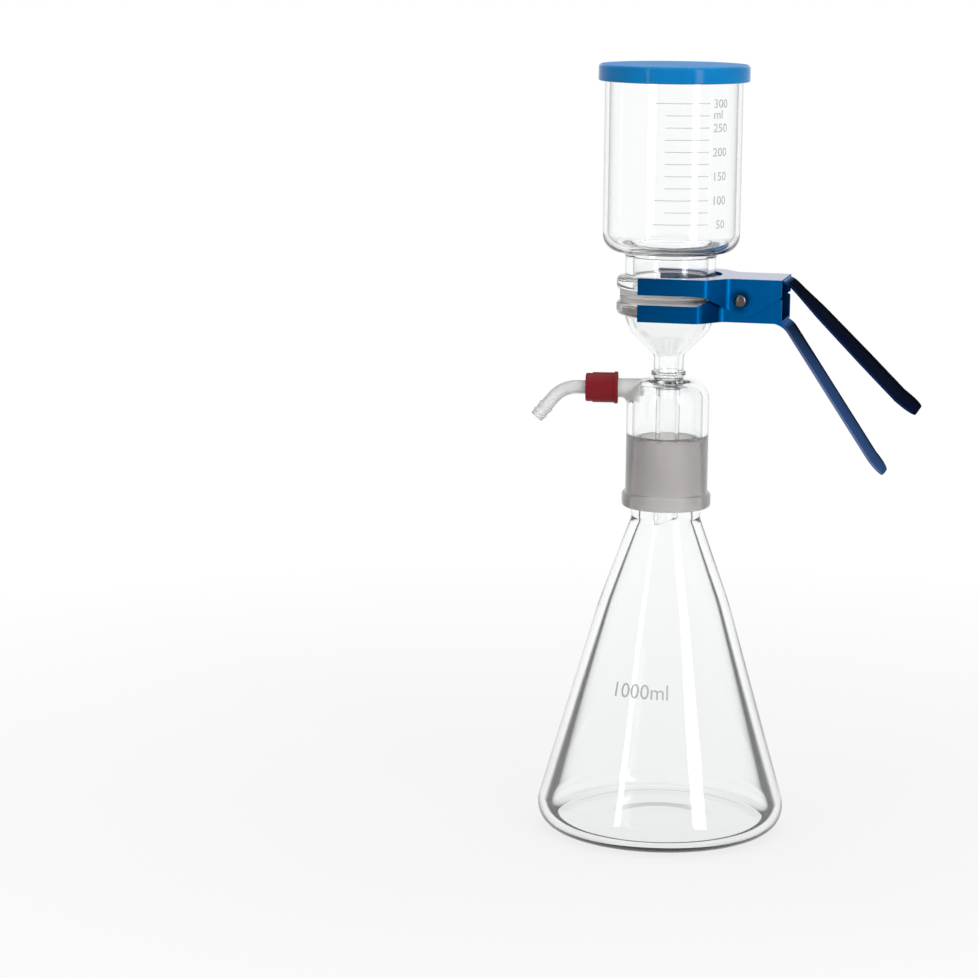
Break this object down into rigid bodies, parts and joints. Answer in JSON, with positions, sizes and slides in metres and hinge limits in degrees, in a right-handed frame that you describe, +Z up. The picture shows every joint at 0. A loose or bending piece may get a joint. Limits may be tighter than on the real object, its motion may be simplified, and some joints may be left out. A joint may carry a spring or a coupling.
{
  "type": "vacuum filtration unit",
  "caption": "Glass vacuum filtration unit: conical flask, jacketed filter head with side arm and hose barb, graduated cup with lid, and a spring clamp round the ground flanges.",
  "frame": {"origin": "centre of the flask's foot, on the bench", "axes": "+Z up through flask, head and cup; -X along the side arm; the clamp's handles point towards +X, turned 10 degrees towards -Y"},
  "size_m": [0.2126, 0.1364, 0.424],
  "materials": {
    "glass": "gloss",
    "porous_glass": "matte",
    "blue_plastic": "satin",
    "red_plastic": "satin",
    "seal_rubber": "matte",
    "blue_aluminium": "satin",
    "bright_steel": "polished"
  },
  "bodies": {
    "stand": {"receiver_flask": "glass", "filter_head": "glass", "sintered_disc": "porous_glass", "filter_cup": "glass", "cup_lid": "blue_plastic", "clamp_lower_lever": "blue_aluminium", "clamp_pin": "bright_steel", "clamp_spring": "bright_steel"},
    "upper_lever": {"clamp_upper_lever": "blue_aluminium"},
    "seal": {"arm_seal": "seal_rubber"},
    "screw_cap": {"arm_cap": "red_plastic"},
    "connector": {"hose_connector": "glass"}
  },
  "joints": [
    {"name": "clamp_hinge", "type": "hinge", "parent": "stand", "child": "upper_lever", "pos_m": [0.04087, -0.00721, 0.299], "axis": [0.1736, 0.9848, 0], "range_deg": [0, 12], "stiffness_Nm_per_rad": 2, "springref_deg": -28.65, "deforming": ["clamp_spring"]},
    {"name": "cap_turn", "type": "hinge", "parent": "stand", "child": "seal", "pos_m": [-0.0407, 0, 0.2473], "axis": [-1, 0, 0], "range_deg": [0, 720]},
    {"name": "cap_travel", "type": "slide", "parent": "seal", "child": "screw_cap", "axis": [-1, 0, 0], "range_m": [0, 0.005]},
    {"name": "connector_swivel", "type": "hinge", "parent": "stand", "child": "connector", "pos_m": [-0.0425, 0, 0.2473], "axis": [-1, 0, 0], "continuous": true}
  ],
  "couplings": [
    {"joint": "cap_turn", "follows": "cap_travel", "rad_per_m": 2513.3}
  ]
}
